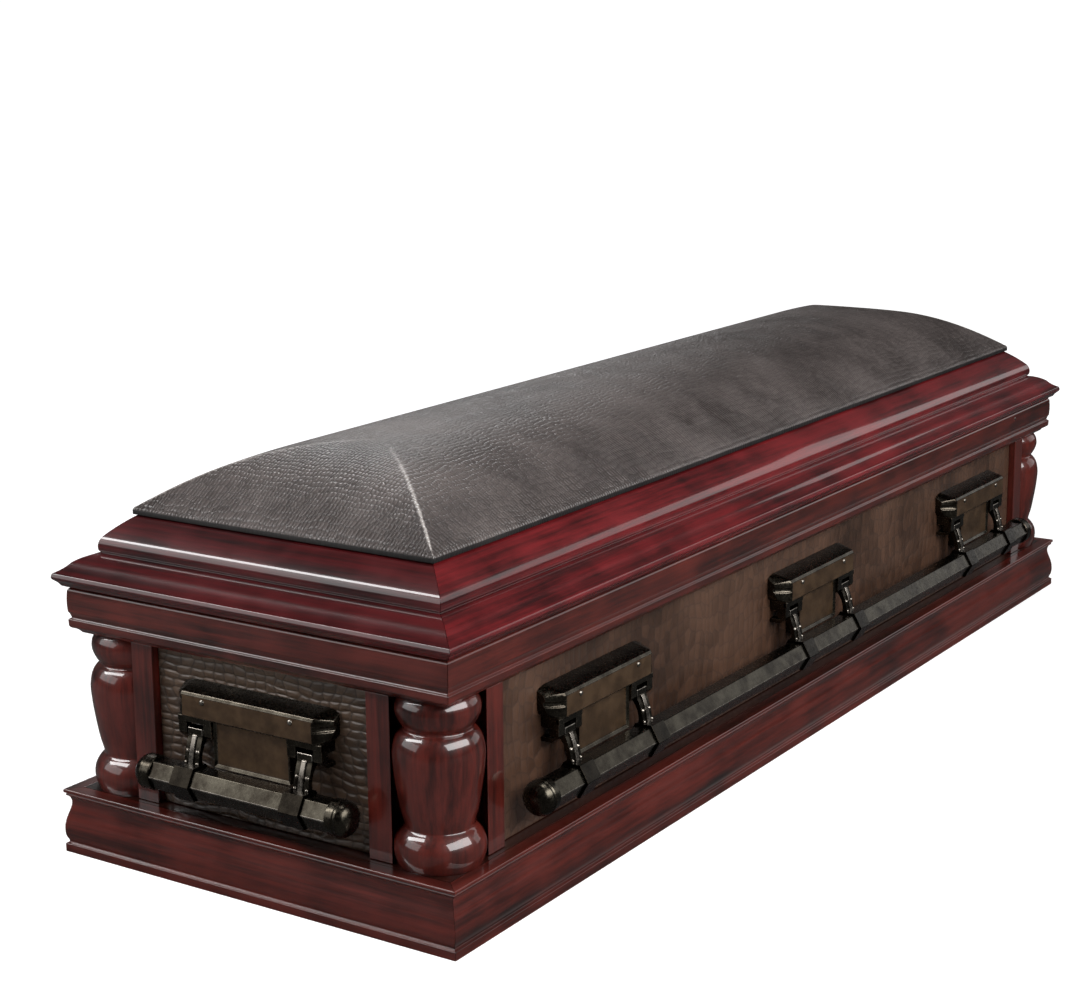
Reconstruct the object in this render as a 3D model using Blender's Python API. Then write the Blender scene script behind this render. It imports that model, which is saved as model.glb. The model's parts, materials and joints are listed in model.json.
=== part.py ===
"""A wooden casket with a leather-covered domed lid, turned corner columns and swing-bar handles.

+X runs along the casket, the front long side faces -Y, +Z is up, and the origin is the centre of
the footprint on the floor. Lengths are in metres and angles in degrees.
"""

import math

import bmesh
import bpy
from mathutils import Matrix, Vector

# Footprint, and the heights of the layers from the floor up
CASKET_LENGTH = 2.12
CASKET_WIDTH = 0.687
BASE_HEIGHT = 0.0945
WALL_HEIGHT = 0.2305
RAIL_HEIGHT = 0.0665
LID_MOULDING_HEIGHT = 0.0997
LEATHER_EDGE = 0.0085
DOME_RISE = 0.0848
CLEARANCE = 0.0003
MITRE_GAP = 0.00036

# Base moulding and the board that lies in its rebate
BASE_STOCK = 0.034
BASE_RELIEF = 0.0095
BOARD_THICKNESS = 0.018
BOARD_REBATE = 0.012

# Corner columns, the posts behind them, and the wall panels between the posts
COLUMN_RADIUS = 0.0615
COLUMN_INSET = 0.077
NICHE_GAP = 0.0018
POST_SETBACK = 0.030
POST_WALL = 0.0177
PANEL_RECESS = 0.012
PANEL_THICKNESS = 0.020

# Top rail of the body
RAIL_SETBACK = 0.0136
RAIL_RELIEF = 0.0145
RAIL_OVERLAP = 0.026

# Lid: the moulding's slope, how far its top runs in under the dome, the dome's seat and its shell
LID_SETBACK = 0.0005
LID_UNDERCUT = 0.0165
LID_LIP = 0.024
LID_COVE = 0.0045
LID_SEAT_BEVEL = 0.004
DOME_BEARING = 0.0282
DOME_RIM = 0.030
DOME_SHELL = 0.012
DOME_FULLNESS = 2.576
DOME_HIP_BLEND = 0.193
DOME_END_RATIO = 0.912

# Handle ears: the outer ones keep their gap to the corner posts. Heights are measured from the
# hood's underside, depths from the panel's face
EAR_END_GAP = 0.231
HOOD_LENGTH = 0.268
HOOD_END = 0.017
HOOD_DEPTH = 0.034
HOOD_END_DEPTH = 0.013
HOOD_HEIGHT = 0.045
HOOD_FRONT_HEIGHT = 0.0345
HOOD_UNDERSIDE = 0.0825
WINDOW_HEIGHT = 0.0665
WINDOW_DEPTH = 0.025
WINDOW_RIM = 0.0055
WINDOW_SINK = 0.003
CHEEK_WIDTH = 0.0145
CHEEK_OVERLAP = 0.0008
CHEEK_HEIGHT = 0.034
CHEEK_DEPTH = 0.029

# Handle arms: the pivot lies behind the cheeks' fronts, and the bar hangs below and outside it
ARM_INSET = 0.0385
ARM_WIDTH = 0.026
ARM_PLAY = 0.002
ARM_THICKNESS = 0.009
ARM_BOW = 0.006
PIVOT_DEPTH = 0.018
PIVOT_DROP = 0.0205
PIVOT_RADIUS = 0.006
PIVOT_PLAY = 0.0004
HEAD_GRIP = 0.0115
BAR_REACH = 0.023
BAR_DROP = 0.066
SLEEVE_WIDTH = 0.034
SLEEVE_WALL = 0.0035

# Swing bars, hexagonal, and their round end caps
BAR_FLATS = 0.040
BAR_OVERHANG = 0.185
END_BAR_OVERHANG = 0.163
CAP_RADIUS = 0.025
CAP_GRIP = 0.010
CAP_LENGTH = 0.022

# Roundness of the facets
COLUMN_SEGMENTS = 18
CAP_SEGMENTS = 12
PIVOT_SEGMENTS = 8
NICHE_SEGMENTS = 10
BOW_STEPS = 3

HALF_LENGTH = CASKET_LENGTH / 2
HALF_WIDTH = CASKET_WIDTH / 2
WALL_BOTTOM = BASE_HEIGHT + CLEARANCE
RAIL_BOTTOM = BASE_HEIGHT + WALL_HEIGHT
WALL_TOP = RAIL_BOTTOM - CLEARANCE
LID_BOTTOM = RAIL_BOTTOM + RAIL_HEIGHT + CLEARANCE
LID_SEAT = LID_BOTTOM + LID_MOULDING_HEIGHT
DOME_BOTTOM = LID_SEAT + CLEARANCE

NICHE_RADIUS = COLUMN_RADIUS + NICHE_GAP
POST_REACH = COLUMN_INSET + NICHE_RADIUS + POST_WALL
PANEL_SETBACK = POST_SETBACK + PANEL_RECESS
RAIL_INNER = PANEL_SETBACK + PANEL_THICKNESS + RAIL_OVERLAP
LID_INNER = RAIL_INNER + LID_LIP
DOME_SETBACK = LID_INNER - DOME_BEARING

EAR_SPACING = HALF_LENGTH - POST_REACH - EAR_END_GAP
ARM_SPREAD = HOOD_LENGTH / 2 - ARM_INSET
HOOD_BOTTOM = RAIL_BOTTOM - HOOD_UNDERSIDE
PIVOT_SETBACK = PANEL_SETBACK - CLEARANCE - PIVOT_DEPTH
PIVOT_HEIGHT = HOOD_BOTTOM - PIVOT_DROP
SLOT_WIDTH = ARM_WIDTH + 2 * ARM_PLAY
HEAD_LENGTH = SLOT_WIDTH + 2 * HEAD_GRIP
HEAD_RADIUS = PIVOT_RADIUS / math.cos(math.pi / PIVOT_SEGMENTS)
WINDOW_HALF = ARM_SPREAD - SLOT_WIDTH / 2 - CHEEK_WIDTH + CHEEK_OVERLAP

# Each side of the casket: how far it is turned from the front, its distance and its half-length
SIDES = {
    "front": (0, HALF_WIDTH, HALF_LENGTH),
    "right": (90, HALF_LENGTH, HALF_WIDTH),
    "back": (180, HALF_WIDTH, HALF_LENGTH),
    "left": (270, HALF_LENGTH, HALF_WIDTH),
}
EARS = {
    "front": (-EAR_SPACING, 0.0, EAR_SPACING),
    "right": (0.0,),
    "back": (-EAR_SPACING, 0.0, EAR_SPACING),
    "left": (0.0,),
}


def clear_scene():
    for old in list(bpy.data.objects):
        bpy.data.objects.remove(old, do_unlink=True)


def material(name, colour, roughness, metallic=0.0):
    made = bpy.data.materials.new(name)
    made.use_nodes = True
    shader = made.node_tree.nodes["Principled BSDF"]
    shader.inputs["Base Color"].default_value = (*colour, 1.0)
    shader.inputs["Roughness"].default_value = roughness
    shader.inputs["Metallic"].default_value = metallic
    made.diffuse_color = (*colour, 1.0)
    return made


def mesh_from(bm, name, smooth_angle=None):
    """Turns a bmesh into a mesh with outward faces. Round pieces are smooth up to an angle."""
    bmesh.ops.recalc_face_normals(bm, faces=bm.faces)
    made = bpy.data.meshes.new(name)
    bm.to_mesh(made)
    bm.free()
    if smooth_angle is not None:
        made.shade_smooth()
        made.set_sharp_from_angle(angle=math.radians(smooth_angle))
    return made


def add_object(name, mesh, look):
    made = bpy.data.objects.new(name, mesh)
    if not mesh.materials:
        mesh.materials.append(look)
    bpy.context.scene.collection.objects.link(made)
    return made


def place_on_side(piece, side, along=0.0, setback=0.0, up=0.0):
    """Stands a piece, modelled with its outer face towards -Y, on one side of the casket."""
    turn, distance, _ = SIDES[side]
    rotation = Matrix.Rotation(math.radians(turn), 4, "Z")
    piece.location = rotation @ Vector((along, setback - distance, up))
    piece.rotation_euler = (0, 0, math.radians(turn))


def bowed(nodes, steps=BOW_STEPS):
    """Points of an outline. A node is (a, b) or (a, b, bow), where bow is the height of the arc
    that leads on to the next node, positive to the left of the way there."""
    points = []
    for node, following in zip(nodes, nodes[1:] + nodes[:1]):
        start, end = Vector(node[:2]), Vector(following[:2])
        points.append(tuple(start))
        bow = node[2] if len(node) > 2 else 0.0
        if bow == 0.0:
            continue
        chord = end - start
        side = Vector((-chord.y, chord.x)).normalized()
        half = chord.length / 2
        radius = (half * half + bow * bow) / (2 * abs(bow))
        centre = (start + end) / 2 - side * math.copysign(radius - abs(bow), bow)
        spread = 2 * math.asin(min(1.0, half / radius))
        turn = -math.copysign(spread, bow) / steps
        for step in range(1, steps):
            points.append(tuple(centre + Matrix.Rotation(turn * step, 2) @ (start - centre)))
    return points


def prism(outline, start, end):
    """A solid that runs along X between start and end, with its outline in (outward, up)."""
    bm = bmesh.new()
    face = bm.faces.new([bm.verts.new((start, -outward, up)) for outward, up in outline])
    grown = bmesh.ops.extrude_face_region(bm, geom=[face])
    moved = [item for item in grown["geom"] if isinstance(item, bmesh.types.BMVert)]
    bmesh.ops.translate(bm, vec=(end - start, 0, 0), verts=moved)
    return bm


def upright(outline, bottom, top):
    """A solid that stands on a plan outline in (x, y)."""
    bm = bmesh.new()
    face = bm.faces.new([bm.verts.new((x, y, bottom)) for x, y in outline])
    grown = bmesh.ops.extrude_face_region(bm, geom=[face])
    moved = [item for item in grown["geom"] if isinstance(item, bmesh.types.BMVert)]
    bmesh.ops.translate(bm, vec=(0, 0, top - bottom), verts=moved)
    return bm


def turned(profile, segments, axis="Z"):
    """A solid of revolution about Z, or about X, from a profile of (radius, distance along)."""
    bm = bmesh.new()
    points = [bm.verts.new((radius, 0, along)) for radius, along in profile]
    edges = [bm.edges.new(pair) for pair in zip(points, points[1:])]
    bmesh.ops.spin(
        bm,
        geom=points + edges,
        cent=(0, 0, 0),
        axis=(0, 0, 1),
        dvec=(0, 0, 0),
        angle=2 * math.pi,
        steps=segments,
        use_merge=True,
        use_duplicate=False,
    )
    bmesh.ops.remove_doubles(bm, verts=bm.verts, dist=1e-6)
    if axis == "X":
        bmesh.ops.rotate(bm, verts=bm.verts, matrix=Matrix.Rotation(math.pi / 2, 3, "Y"))
    return bm


def block(low, high):
    bm = bmesh.new()
    bmesh.ops.create_cube(bm, size=1.0)
    size = [top - bottom for bottom, top in zip(low, high)]
    middle = [(top + bottom) / 2 for bottom, top in zip(low, high)]
    bmesh.ops.scale(bm, vec=size, verts=bm.verts)
    bmesh.ops.translate(bm, vec=middle, verts=bm.verts)
    return bm


def fused(name, solids, cutters=()):
    """One closed mesh from solids that overlap, less the cutters."""
    helpers = []
    for operation, group in (("UNION", solids[1:]), ("DIFFERENCE", cutters)):
        for solid in group:
            helpers.append((operation, bpy.data.objects.new(name + "_helper", mesh_from(solid, name))))
    body = bpy.data.objects.new(name + "_body", mesh_from(solids[0], name))
    bpy.context.scene.collection.objects.link(body)
    for operation, helper in helpers:
        bpy.context.scene.collection.objects.link(helper)
        modifier = body.modifiers.new(operation.lower(), "BOOLEAN")
        modifier.operation = operation
        modifier.object = helper
    bpy.context.view_layer.update()
    graph = bpy.context.evaluated_depsgraph_get()
    made = bpy.data.meshes.new_from_object(body.evaluated_get(graph))
    made.name = name
    for used in [body] + [helper for _, helper in helpers]:
        bpy.data.objects.remove(used, do_unlink=True)
    return made


def mitred_length(name, outline, side, look):
    """One length of a moulding with mitred ends. The outline is in (inset, height)."""
    _, _, half = SIDES[side]
    trim = MITRE_GAP / math.sqrt(2)
    bm = bmesh.new()
    ring = [bm.verts.new((inset - half + trim, inset, height)) for inset, height in outline]
    grown = bmesh.ops.extrude_face_region(bm, geom=[bm.faces.new(ring)])
    for item in grown["geom"]:
        if isinstance(item, bmesh.types.BMVert):
            item.co.x = -item.co.x
    piece = add_object(name, mesh_from(bm, name, 35), look)
    place_on_side(piece, side)
    return piece


def base_outline():
    """Bead, fillet, swelling, cove and thin top lip, then the rebate that carries the board."""
    height = BASE_HEIGHT
    ledge = BASE_HEIGHT - BOARD_THICKNESS - CLEARANCE
    relief = BASE_RELIEF
    return bowed(
        [
            (BASE_STOCK, 0.0),
            (0.0, 0.0),
            (0.0, 0.127 * height),
            (0.40 * relief, 0.170 * height),
            (0.40 * relief, 0.185 * height, 0.42 * relief),
            (0.60 * relief, 0.640 * height, -0.42 * relief),
            (0.50 * relief, 0.885 * height),
            (0.05 * relief, 0.945 * height),
            (0.05 * relief, 0.985 * height),
            (0.15 * relief, height),
            (BASE_STOCK - BOARD_REBATE, height),
            (BASE_STOCK - BOARD_REBATE, ledge),
            (BASE_STOCK, ledge),
        ]
    )


def rail_outline():
    """A stepped underside, a bead, a quirk and a hollow face."""
    face = RAIL_SETBACK
    relief = RAIL_RELIEF
    bottom, height = RAIL_BOTTOM, RAIL_HEIGHT
    return bowed(
        [
            (RAIL_INNER, bottom),
            (face + relief, bottom, -0.08 * relief),
            (face + 0.42 * relief, bottom + 0.110 * height, 0.10 * relief),
            (face + 0.13 * relief, bottom + 0.200 * height),
            (face + 0.11 * relief, bottom + 0.305 * height),
            (face + 0.34 * relief, bottom + 0.390 * height),
            (face + 0.12 * relief, bottom + 0.495 * height, 0.11 * relief),
            (face + 0.12 * relief, bottom + 0.985 * height),
            (face + 0.19 * relief, bottom + height),
            (RAIL_INNER, bottom + height),
        ]
    )


def lid_outline():
    """A nose, a long sweep up to a fillet, and a quarter round up to the dome's seat."""
    nose = LID_SETBACK
    run = DOME_SETBACK + LID_COVE - nose
    bottom, height = LID_BOTTOM, LID_MOULDING_HEIGHT
    return bowed(
        [
            (LID_INNER, bottom),
            (nose + LID_UNDERCUT, bottom),
            (nose + 0.60 * LID_UNDERCUT, bottom + 0.030 * height, -0.05 * LID_UNDERCUT),
            (nose + 0.12 * LID_UNDERCUT, bottom + 0.120 * height),
            (nose, bottom + 0.155 * height),
            (nose + 0.018 * run, bottom + 0.212 * height, -0.016 * run),
            (nose + 0.240 * run, bottom + 0.355 * height, 0.014 * run),
            (nose + 0.495 * run, bottom + 0.462 * height),
            (nose + 0.512 * run, bottom + 0.545 * height, 0.060 * run),
            (nose + run, bottom + 0.988 * height),
            (nose + run + LID_SEAT_BEVEL, bottom + height),
            (LID_INNER, bottom + height),
        ]
    )


def build_frames(wood):
    for side in SIDES:
        mitred_length("base_" + side, base_outline(), side, wood)
        mitred_length("rail_" + side, rail_outline(), side, wood)
        mitred_length("lid_" + side, lid_outline(), side, wood)


def build_bottom_board(wood):
    inset = BASE_STOCK - BOARD_REBATE + CLEARANCE
    reach = (HALF_LENGTH - inset, HALF_WIDTH - inset)
    solid = block((-reach[0], -reach[1], BASE_HEIGHT - BOARD_THICKNESS), (*reach, BASE_HEIGHT))
    add_object("bottom_board", mesh_from(solid, "bottom_board"), wood)


def build_panels(leather):
    for side, (_, _, half) in SIDES.items():
        reach = half - POST_REACH - CLEARANCE
        solid = block((-reach, 0, WALL_BOTTOM), (reach, PANEL_THICKNESS, WALL_TOP))
        panel = add_object("panel_" + side, mesh_from(solid, "panel_" + side), leather)
        place_on_side(panel, side, setback=PANEL_SETBACK)


def corner_places():
    """The four column axes, with the turn of the corner, anticlockwise from front left."""
    for index, (along, across) in enumerate([(-1, -1), (1, -1), (1, 1), (-1, 1)]):
        spot = (along * (HALF_LENGTH - COLUMN_INSET), across * (HALF_WIDTH - COLUMN_INSET), 0)
        yield index + 1, spot, math.radians(90 * index)


def post_plan():
    """A square post, hollowed round the column and cut off towards the inside of the casket.
    The plan is centred on the column's axis, with the casket's corner towards -X and -Y."""
    face = POST_SETBACK - COLUMN_INSET
    reach = POST_REACH - COLUMN_INSET
    mouth = math.asin(-face / NICHE_RADIUS)
    niche = []
    for step in range(NICHE_SEGMENTS + 1):
        angle = -mouth + (math.pi / 2 + 2 * mouth) * step / NICHE_SEGMENTS
        niche.append((NICHE_RADIUS * math.cos(angle), NICHE_RADIUS * math.sin(angle)))
    cut = math.sqrt(2) * (NICHE_RADIUS + POST_WALL) - reach
    return niche + [(face, reach), (cut, reach), (reach, cut), (reach, face)]


def build_posts(wood):
    mesh = mesh_from(upright(post_plan(), WALL_BOTTOM, WALL_TOP), "post", 35)
    for number, spot, turn in corner_places():
        post = add_object(f"post_{number}", mesh, wood)
        post.location = spot
        post.rotation_euler = (0, 0, turn)


def column_profile():
    """Foot ring, waist, tall vase, neck and cap, as shares of the radius and of the height."""
    turning = [
        (0.935, 0.000),
        (0.950, 0.028),
        (0.995, 0.060),
        (1.000, 0.130),
        (0.975, 0.174),
        (0.918, 0.198),
        (0.800, 0.217),
        (0.756, 0.241),
        (0.846, 0.324),
        (0.911, 0.432),
        (0.967, 0.540),
        (1.000, 0.653),
        (0.987, 0.735),
        (0.920, 0.770),
        (0.764, 0.805),
        (0.846, 0.857),
        (0.925, 0.925),
        (0.917, 1.000),
    ]
    height = WALL_TOP - WALL_BOTTOM
    points = [(share * COLUMN_RADIUS, WALL_BOTTOM + up * height) for share, up in turning]
    return [(0.0, WALL_BOTTOM)] + points + [(0.0, WALL_TOP)]


def build_columns(wood):
    mesh = mesh_from(turned(column_profile(), COLUMN_SEGMENTS), "column", 50)
    for number, spot, turn in corner_places():
        column = add_object(f"column_{number}", mesh, wood)
        column.location = spot
        column.rotation_euler = (0, 0, turn)


def dome_height(from_end, from_side, half_width, rise):
    """How far the dome stands above its eaves, at a point that far in from an end and a side."""

    def swell(distance, reach):
        return 1 - (1 - min(1.0, distance / reach)) ** DOME_FULLNESS

    end, side = swell(from_end, DOME_END_RATIO * half_width), swell(from_side, half_width)
    return rise * ((1 - DOME_HIP_BLEND) * min(end, side) + DOME_HIP_BLEND * end * side)


def dome_sheet(bm, shares, half_length, half_width, eaves, rise):
    """A domed grid. Its lines stand at shares of the half-width, so that the hips follow them."""
    count = len(shares)
    grid = bmesh.ops.create_grid(bm, x_segments=2 * count - 1, y_segments=2 * count - 2, size=1)
    lines = {}
    for vert in grid["verts"]:
        column = round((vert.co.x + 1) / 2 * (2 * count - 1))
        row = round((vert.co.y + 1) / 2 * (2 * count - 2))
        from_end = DOME_END_RATIO * half_width * shares[min(column, 2 * count - 1 - column)]
        from_side = half_width * shares[min(row, 2 * count - 2 - row)]
        vert.co.x = math.copysign(half_length - from_end, column - count + 0.5)
        vert.co.y = math.copysign(half_width - from_side, row - count + 1)
        vert.co.z = eaves + dome_height(from_end, from_side, half_width, rise)
        lines[column, row] = vert
    return lines, 2 * count - 1, 2 * count - 2


def split_hips(bm, lines, columns, rows):
    """Folds the grid's corner cells along the hips."""
    for step in range(rows // 2):
        for column, row, across, up in (
            (step, step, 1, 1),
            (step, rows - step, 1, -1),
            (columns - step, step, -1, 1),
            (columns - step, rows - step, -1, -1),
        ):
            ends = [lines[column, row], lines[column + across, row + up]]
            bmesh.ops.connect_verts(bm, verts=ends)


def boundary(lines, columns, rows):
    """The sheet's edge as four runs of vertices, each from one corner to the next."""
    return [
        [lines[column, 0] for column in range(columns + 1)],
        [lines[columns, row] for row in range(rows + 1)],
        [lines[column, rows] for column in range(columns, -1, -1)],
        [lines[0, row] for row in range(rows, -1, -1)],
    ]


def build_dome(leather):
    """The leather-covered shell: a wrapped edge, a domed top and a domed hollow below."""
    reach_x, reach_y = HALF_LENGTH - DOME_SETBACK, HALF_WIDTH - DOME_SETBACK
    bm = bmesh.new()
    top_eaves = DOME_BOTTOM + LEATHER_EDGE
    top = dome_sheet(bm, (0, 0.08, 0.18, 0.3, 0.45, 0.62, 0.8, 1), reach_x, reach_y, top_eaves, DOME_RISE)
    inner_rise = LEATHER_EDGE + DOME_RISE - DOME_SHELL
    hollow_x, hollow_y = reach_x - DOME_RIM, reach_y - DOME_RIM
    hollow = dome_sheet(bm, (0, 0.2, 0.5, 1), hollow_x, hollow_y, DOME_BOTTOM, inner_rise)
    corners = [
        bm.verts.new((x, y, DOME_BOTTOM))
        for x, y in ((-reach_x, -reach_y), (reach_x, -reach_y), (reach_x, reach_y), (-reach_x, reach_y))
    ]
    for side, (outer, inner) in enumerate(zip(boundary(*top), boundary(*hollow))):
        pair = [corners[side], corners[(side + 1) % 4]]
        bm.faces.new(outer + pair[::-1])
        bm.faces.new(pair + inner[::-1])
    split_hips(bm, *top)
    split_hips(bm, *hollow)
    add_object("lid_dome", mesh_from(bm, "lid_dome", 40), leather)


def hood_section(depth, inset):
    """The hood's cut, in (outward, up): a sloping top, an upright front and a flat underside."""
    bottom = HOOD_BOTTOM + inset
    front = HOOD_BOTTOM + HOOD_FRONT_HEIGHT - inset
    return [
        (0.0, bottom),
        (0.90 * depth, bottom),
        (depth, bottom + 0.08 * HOOD_HEIGHT),
        (depth, front - 0.04 * HOOD_HEIGHT),
        (0.93 * depth, front + 0.06 * HOOD_HEIGHT),
        (0.0, HOOD_BOTTOM + HOOD_HEIGHT - inset),
    ]


def hood_solid():
    """The hood runs straight, and falls back to shallow ends."""
    half = HOOD_LENGTH / 2
    stations = [
        (-half, HOOD_END_DEPTH, 0.14 * HOOD_HEIGHT),
        (HOOD_END - half, HOOD_DEPTH, 0.0),
        (half - HOOD_END, HOOD_DEPTH, 0.0),
        (half, HOOD_END_DEPTH, 0.14 * HOOD_HEIGHT),
    ]
    bm = bmesh.new()
    rings = []
    for along, depth, inset in stations:
        points = hood_section(depth, inset)
        rings.append([bm.verts.new((along, -outward, up)) for outward, up in points])
    for ring in (rings[0], rings[-1]):
        bm.faces.new(ring)
    for ring, following in zip(rings, rings[1:]):
        for index in range(len(ring)):
            after = (index + 1) % len(ring)
            bm.faces.new((ring[index], ring[after], following[after], following[index]))
    return bm


def window_solid():
    """The box below the hood, with a sunk window in its front."""
    bottom = HOOD_BOTTOM - WINDOW_HEIGHT
    top = HOOD_BOTTOM + 0.05 * HOOD_HEIGHT
    bm = block((-WINDOW_HALF, -WINDOW_DEPTH, bottom), (WINDOW_HALF, 0, top))
    front = min(bm.faces, key=lambda face: face.calc_center_median().y)
    bmesh.ops.inset_region(bm, faces=[front], thickness=WINDOW_RIM, use_even_offset=True)
    bmesh.ops.translate(bm, vec=(0, WINDOW_SINK, 0), verts=front.verts)
    return bm


def cheek_outline():
    """A cheek's cut: a block whose notch, open to the panel, holds the arm's round head."""
    bottom, top = HOOD_BOTTOM - CHEEK_HEIGHT, HOOD_BOTTOM + 0.05 * HOOD_HEIGHT
    radius = (HEAD_RADIUS + PIVOT_PLAY) / math.cos(math.pi / PIVOT_SEGMENTS)
    notch = []
    for angle in (90, 45, 0, -45, -90):
        outward = PIVOT_DEPTH + radius * math.cos(math.radians(angle))
        notch.append((outward, PIVOT_HEIGHT + radius * math.sin(math.radians(angle))))
    below = [(0.0, PIVOT_HEIGHT - radius), (0.0, bottom), (CHEEK_DEPTH, bottom)]
    above = [(CHEEK_DEPTH, top), (0.0, top), (0.0, PIVOT_HEIGHT + radius)]
    return notch + below + above


def ear_mesh():
    solids = [hood_solid(), window_solid()]
    for arm in (-ARM_SPREAD, ARM_SPREAD):
        for side in (-1, 1):
            inner = arm + side * SLOT_WIDTH / 2
            outer = inner + side * CHEEK_WIDTH
            solids.append(prism(cheek_outline(), min(inner, outer), max(inner, outer)))
    return fused("ear", solids)


def hexagon(flats, centre=(0.0, 0.0)):
    """Six corners with one towards the outside, so that the flats face up and down."""
    radius = flats / math.sqrt(3)
    turns = [math.radians(60 * step) for step in range(6)]
    return [(centre[0] + radius * math.cos(turn), centre[1] + radius * math.sin(turn)) for turn in turns]


def arm_mesh():
    """A round head for the cheeks, a bowed leg and a sleeve round the bar, seen from the pivot."""
    turns = [2 * math.pi * (step + 0.5) / PIVOT_SEGMENTS for step in range(PIVOT_SEGMENTS)]
    head = [(HEAD_RADIUS * math.cos(turn), HEAD_RADIUS * math.sin(turn)) for turn in turns]
    half = ARM_THICKNESS / 2
    sleeve_top = BAR_FLATS / 2 + SLEEVE_WALL
    foot = (0.72 * BAR_REACH, sleeve_top - BAR_DROP - SLEEVE_WALL / 2)
    leg = bowed(
        [
            (-half, 0.0),
            (-half, -PIVOT_RADIUS, ARM_BOW),
            (foot[0] - half, foot[1]),
            (foot[0] + half, foot[1], -ARM_BOW),
            (half, -PIVOT_RADIUS),
            (half, 0.0),
        ]
    )
    bar_centre = (BAR_REACH, -BAR_DROP)
    sleeve = hexagon(BAR_FLATS + 2 * SLEEVE_WALL, bar_centre)
    hole = hexagon(BAR_FLATS + 2 * CLEARANCE, bar_centre)
    solids = [
        prism(leg, -ARM_WIDTH / 2, ARM_WIDTH / 2),
        prism(head, -HEAD_LENGTH / 2, HEAD_LENGTH / 2),
        prism(sleeve, -SLEEVE_WIDTH / 2, SLEEVE_WIDTH / 2),
    ]
    return fused("arm", solids, [prism(hole, -SLEEVE_WIDTH, SLEEVE_WIDTH)])


def cap_solid(end, facing):
    """A bar's round end cap: a collar that grips the bar, and a domed nose."""
    profile = [
        (0.0, end - facing * CAP_GRIP),
        (0.97 * CAP_RADIUS, end - facing * CAP_GRIP),
        (CAP_RADIUS, end - facing * 0.7 * CAP_GRIP),
        (CAP_RADIUS, end + facing * 0.35 * CAP_LENGTH),
        (0.80 * CAP_RADIUS, end + facing * 0.80 * CAP_LENGTH),
        (0.45 * CAP_RADIUS, end + facing * CAP_LENGTH),
        (0.0, end + facing * CAP_LENGTH),
    ]
    return turned(profile, CAP_SEGMENTS, "X")


def bar_mesh(name, half):
    """The hexagonal bar with its two caps, centred on its own middle."""
    return fused(name, [prism(hexagon(BAR_FLATS), -half, half), cap_solid(-half, -1), cap_solid(half, 1)])


def build_handles(bronze):
    ear, arm = ear_mesh(), arm_mesh()
    for side, places in EARS.items():
        number = 0
        for index, along in enumerate(places):
            piece = add_object(f"ear_{side}_{index + 1}", ear, bronze)
            place_on_side(piece, side, along, PANEL_SETBACK - CLEARANCE)
            for offset in (-ARM_SPREAD, ARM_SPREAD):
                number += 1
                piece = add_object(f"arm_{side}_{number}", arm, bronze)
                place_on_side(piece, side, along + offset, PIVOT_SETBACK, PIVOT_HEIGHT)
        overhang = BAR_OVERHANG if len(places) > 1 else END_BAR_OVERHANG
        mesh = bar_mesh("bar_" + side, places[-1] + overhang)
        mesh.transform(Matrix.Translation((0, -BAR_REACH, -BAR_DROP)))
        piece = add_object("bar_" + side, mesh, bronze)
        place_on_side(piece, side, 0.0, PIVOT_SETBACK, PIVOT_HEIGHT)


def build_casket():
    clear_scene()
    mahogany = material("mahogany", (0.13, 0.025, 0.02), 0.2)
    dark_wood = material("dark_mahogany", (0.06, 0.014, 0.012), 0.25)
    lid_leather = material("lid_leather", (0.045, 0.036, 0.03), 0.45)
    panel_leather = material("panel_leather", (0.05, 0.033, 0.02), 0.4)
    bronze = material("antique_bronze", (0.06, 0.045, 0.03), 0.3, 0.9)
    build_bottom_board(dark_wood)
    build_frames(mahogany)
    build_panels(panel_leather)
    build_posts(mahogany)
    build_columns(mahogany)
    build_dome(lid_leather)
    build_handles(bronze)


build_casket()
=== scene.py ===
"""The casket's finished look: lacquered mahogany, embossed leather and antique bronze.

Lengths are in metres. +X runs along the casket, the front long side faces -Y and +Z is up.
"""

import json
import math

import bmesh
import bpy
from mathutils import Matrix, Vector, noise

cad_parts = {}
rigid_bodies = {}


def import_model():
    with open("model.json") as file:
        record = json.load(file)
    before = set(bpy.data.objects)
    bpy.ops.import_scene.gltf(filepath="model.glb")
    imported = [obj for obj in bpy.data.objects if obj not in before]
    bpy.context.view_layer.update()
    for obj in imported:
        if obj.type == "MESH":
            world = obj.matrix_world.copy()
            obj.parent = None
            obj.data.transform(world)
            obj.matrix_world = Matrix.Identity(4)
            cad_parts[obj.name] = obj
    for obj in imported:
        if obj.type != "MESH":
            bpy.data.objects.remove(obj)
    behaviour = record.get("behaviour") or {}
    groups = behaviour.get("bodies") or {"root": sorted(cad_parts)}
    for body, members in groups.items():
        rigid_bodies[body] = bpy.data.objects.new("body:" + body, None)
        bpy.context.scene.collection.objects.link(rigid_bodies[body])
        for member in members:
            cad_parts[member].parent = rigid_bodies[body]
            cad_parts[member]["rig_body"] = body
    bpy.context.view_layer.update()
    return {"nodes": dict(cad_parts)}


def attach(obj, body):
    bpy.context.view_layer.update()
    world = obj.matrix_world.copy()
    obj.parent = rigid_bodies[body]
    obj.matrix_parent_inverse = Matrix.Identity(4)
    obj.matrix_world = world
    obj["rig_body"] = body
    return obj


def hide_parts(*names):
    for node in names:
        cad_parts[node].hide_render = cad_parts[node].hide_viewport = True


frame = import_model()

# Sizes of the casket, as in the solids
HALF_LENGTH = 1.06
HALF_WIDTH = 0.3435
BASE_HEIGHT = 0.0945
RAIL_BOTTOM = 0.325
RAIL_HEIGHT = 0.0665
LID_BOTTOM = 0.3918
LID_MOULDING_HEIGHT = 0.0997
CLEARANCE = 0.0003
MITRE_GAP = 0.00036
WALL_BOTTOM = BASE_HEIGHT + CLEARANCE
WALL_TOP = RAIL_BOTTOM - CLEARANCE

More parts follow.
